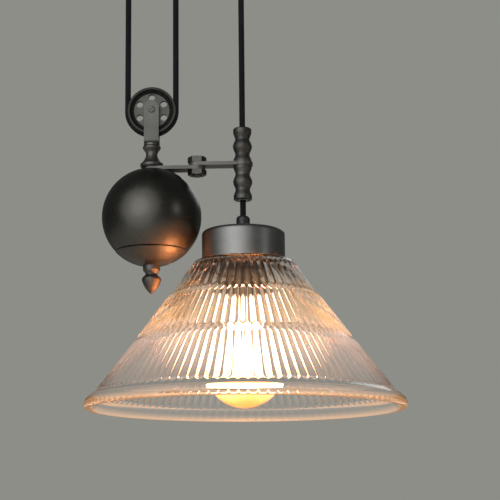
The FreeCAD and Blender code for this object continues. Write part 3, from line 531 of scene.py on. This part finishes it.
def make_flex():
    """One flex in four pieces, cut where its neighbours move apart."""
    flex_top = high_z("cord_fixed_strand")
    flex_end = low_z("cord_lamp_tail")
    join_z = guide_top + guide_join
    spare = straight_diameters * 2 * flex_radius
    loop = [(anchor.x, 0, flex_top), (anchor.x, 0, flex_top - spare), (anchor.x, 0, lower_axle.z + spare)]
    loop += corners(lower_axle, lower_turn, (157.5, 202.5, 247.5, 292.5, 337.5, 382.5))
    loop += [(middle.x, 0, lower_axle.z + spare), (middle.x, 0, upper_axle.z - spare),
             (middle.x, 0, upper_axle.z)]
    over = [(middle.x, 0, upper_axle.z)]
    over += corners(upper_axle, upper_turn, (157.5, 112.5, 67.5, 22.5, -22.5))
    over += [(lamp.x, 0, upper_axle.z - spare), (lamp.x, 0, join_z)]
    lead = [(lamp.x, 0, join_z), (lamp.x, 0, join_z - guide_join / 2), (lamp.x, 0, guide_top)]
    tail = [(lamp.x, 0, guide_top), (lamp.x, 0, guide_bottom), (lamp.x, 0, flex_end)]
    pieces = (
        ("flex_loop", loop, "ceiling", "counterweight", upper_axle.z, lower_axle.z,
         ("cord_fixed_strand", "cord_lower_wrap", "cord_middle_strand")),
        ("flex_over_pulley", over, "ceiling", "counterweight", upper_axle.z, join_z,
         ("cord_upper_wrap", "cord_lamp_strand")),
        ("flex_lead", lead, "counterweight", "guide", join_z, guide_top, ()),
        ("flex_tail", tail, "guide", "lamp", guide_top, flex_end, ("cord_lamp_tail",)),
    )
    start_length = 0.0
    for name, points, upper_body, lower_body, high, low, replaced in pieces:
        piece, line, length = braid_tube(name, points, start_length)
        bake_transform(piece)
        if replaced:
            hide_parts(*replaced)
        start_length += length


# ---- ribbed glass shade --------------------------------------------------------------------------------
def arc_rows(middle_r, middle_h, radius, start, end, count):
    """Rows of (radius, height, depth function) along an arc; angles in degrees from outward."""
    rows = []
    for i in range(count + 1):
        angle = math.radians(start + (end - start) * i / count)
        rows.append((middle_r + radius * math.cos(angle), middle_h + radius * math.sin(angle), None))
    return rows


def tier_profile(tier):
    """Rows of a ribbed tier.  Each row has a function of the angle that gives the depth below the
    crest of the ribs, whose ends are pointed."""
    outward = tier.bottom_radius - tier.top_radius
    downward = tier.top_height - tier.bottom_height
    length = math.hypot(outward, downward)
    rows = []
    ends = [rib_tip * i / tip_rows for i in range(tip_rows + 1)]
    inner = [rib_tip + (length - 2 * rib_tip) * i / tier_rows for i in range(1, tier_rows)]
    places = ends + inner + [length - e for e in reversed(ends)]
    for place in places:
        share = place / length
        from_end = min(place, length - place)

        def depth(angle, from_end=from_end):
            across = 2 * abs((angle * tier.ribs / (2 * math.pi)) % 1.0 - 0.5)
            crest = 1 - across ** 2
            past_point = from_end - rib_tip * across * (1 - tip_slope)
            tip = min(1.0, max(0.0, past_point / (rib_tip * tip_slope)))
            return rib_depth * (1 - crest * tip)

        rows.append((tier.top_radius + outward * share, tier.top_height - downward * share, depth))
    return rows


def plain_rows(points):
    return [(radius, height, None) for radius, height in points]


def shade_rows():
    """Rows of the whole outline, from the crown's hole down the outside and back up the inside."""
    top = high_z("glass_shade") - rim_z
    rim_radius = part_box("glass_shade")[1].x - lamp.x
    rows = plain_rows(((crown_hole, top), ((crown_hole + crown_radius) / 2, top)))
    rows += arc_rows(crown_radius - crown_rounding, top - crown_rounding, crown_rounding, 90, 0, 4)
    rows += plain_rows(((crown_radius, shoulder_height), (shoulder_radius, shoulder_height), shoulder_foot))
    for tier in tiers:
        rows += tier_profile(tier)
    rows += plain_rows(rim_flare)
    rows += arc_rows(rim_radius - rim_bulge, rim_bulge_height, rim_bulge, 50, 0, 3)
    rows += arc_rows(rim_radius - rim_edge, rim_edge, rim_edge, 0, -90, 4)
    rows += plain_rows(rim_inside)
    rows += plain_rows((tier.bottom_radius - glass_wall, tier.bottom_height) for tier in reversed(tiers))
    bend_in, bend_down = inner_bend
    inner_crown = crown_radius - crown_wall
    rows += plain_rows((
        (top_tier.top_radius - glass_wall - bend_in, top_tier.top_height - bend_down),
        inner_shoulder,
        (inner_crown, inner_crown_height),
        (inner_crown, top - crown_height),
        (crown_hole, top - crown_height),
    ))
    return rows


def ribbed_shade():
    rows = shade_rows()
    vertices, faces = [], []
    count = shade_columns
    for radius, height, depth in rows:
        for j in range(count):
            angle = 2 * math.pi * j / count
            here = radius - (depth(angle) if depth else 0)
            vertices.append((lamp.x + here * math.cos(angle), here * math.sin(angle), rim_z + height))
    for i in range(len(rows)):
        below = (i + 1) % len(rows)
        for j in range(count):
            k = (j + 1) % count
            faces.append((i * count + j, below * count + j, below * count + k, i * count + k))
    piece = mesh_piece("ribbed_shade", vertices, faces, "shade_glass")
    piece.visible_shadow = False        # so that the bulb's light gets out
    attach(piece, "lamp")
    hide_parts("glass_shade")


# ---- stage ---------------------------------------------------------------------------------------------
wall_colour = (0.268, 0.270, 0.248)
room_light = (0.40, 0.40, 0.40)
room_reflection = (0.075, 0.077, 0.074)
floor_colour = (0.62, 0.62, 0.58)
floor_drop = 1.9                # floor below the ceiling face
floor_reach = 6.0               # from the middle of the floor to its edge
bulb_watts = 4.4
bulb_light_colour = (1.0, 0.27, 0.04)
bulb_light_radius = 26 * mm


def make_world():
    world = bpy.data.worlds.new("room")
    world.use_nodes = True
    bpy.context.scene.world = world
    tree = Nodes(world.node_tree)
    background = world.node_tree.nodes["Background"].inputs
    path = tree.add("ShaderNodeLightPath").outputs
    seen = tree.math("MAXIMUM", path["Is Camera Ray"], path["Is Transmission Ray"])
    around = tree.mix(path["Is Glossy Ray"], room_light, room_reflection)
    tree.link(tree.mix(seen, around, wall_colour), background["Color"])
    background["Strength"].default_value = 1.0


def make_floor():
    material, tree, sockets = new_material("stage_floor")
    sockets["Base Color"].default_value = (*floor_colour, 1)
    sockets["Roughness"].default_value = 0.9
    mesh = bpy.data.meshes.new("stage_floor")
    mesh.from_pydata([(x * floor_reach, y * floor_reach, -floor_drop)
                      for x, y in ((-1, -1), (1, -1), (1, 1), (-1, 1))], [], [(0, 1, 2, 3)])
    mesh.materials.append(material)
    floor = bpy.data.objects.new("stage_floor", mesh)
    bpy.context.collection.objects.link(floor)


def area_light(name, place, aim, size, watts, in_glass):
    """A soft lamp that points at aim.  in_glass says whether it shows through the glass."""
    data = bpy.data.lights.new(name, "AREA")
    data.shape = "ELLIPSE"
    data.size, data.size_y = size
    data.energy = watts
    light = bpy.data.objects.new(name, data)
    light.location = place
    light.rotation_euler = (Vector(aim) - Vector(place)).to_track_quat("-Z", "Y").to_euler()
    light.visible_transmission = in_glass
    bpy.context.collection.objects.link(light)


def bulb_light():
    """The light that the bulb throws on what is near it."""
    data = bpy.data.lights.new("bulb_light", "POINT")
    data.energy = bulb_watts
    data.color = bulb_light_colour
    data.shadow_soft_size = bulb_light_radius
    light = bpy.data.objects.new("bulb_light", data)
    low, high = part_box("filament")
    light.location = (low + high) / 2
    bpy.context.collection.objects.link(light)
    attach(light, "lamp")


def make_stage():
    make_world()
    make_floor()
    aim = (lamp.x - 0.06, 0, rim_z + 0.2)
    key_place = (lamp.x - 1.1, -2.3, aim[2] + 0.65)
    area_light("key", key_place, aim, (2.0, 2.0), 20, False)
    area_light("key_skirt", key_place, aim, (4.8, 4.8), 52, False)
    area_light("fill", (lamp.x + 2.2, -1.2, aim[2] + 0.5), aim, (0.15, 0.9), 2, True)
    area_light("back", (lamp.x + 0.6, 2.2, aim[2] + 1.2), aim, (1.5, 1.0), 4, False)
    bulb_light()


make_camera()
make_flex()
dress_nodes()
ribbed_shade()
nodes["bulb_glass"].visible_shadow = False
make_stage()
bpy.context.scene.view_settings.view_transform = "Standard"
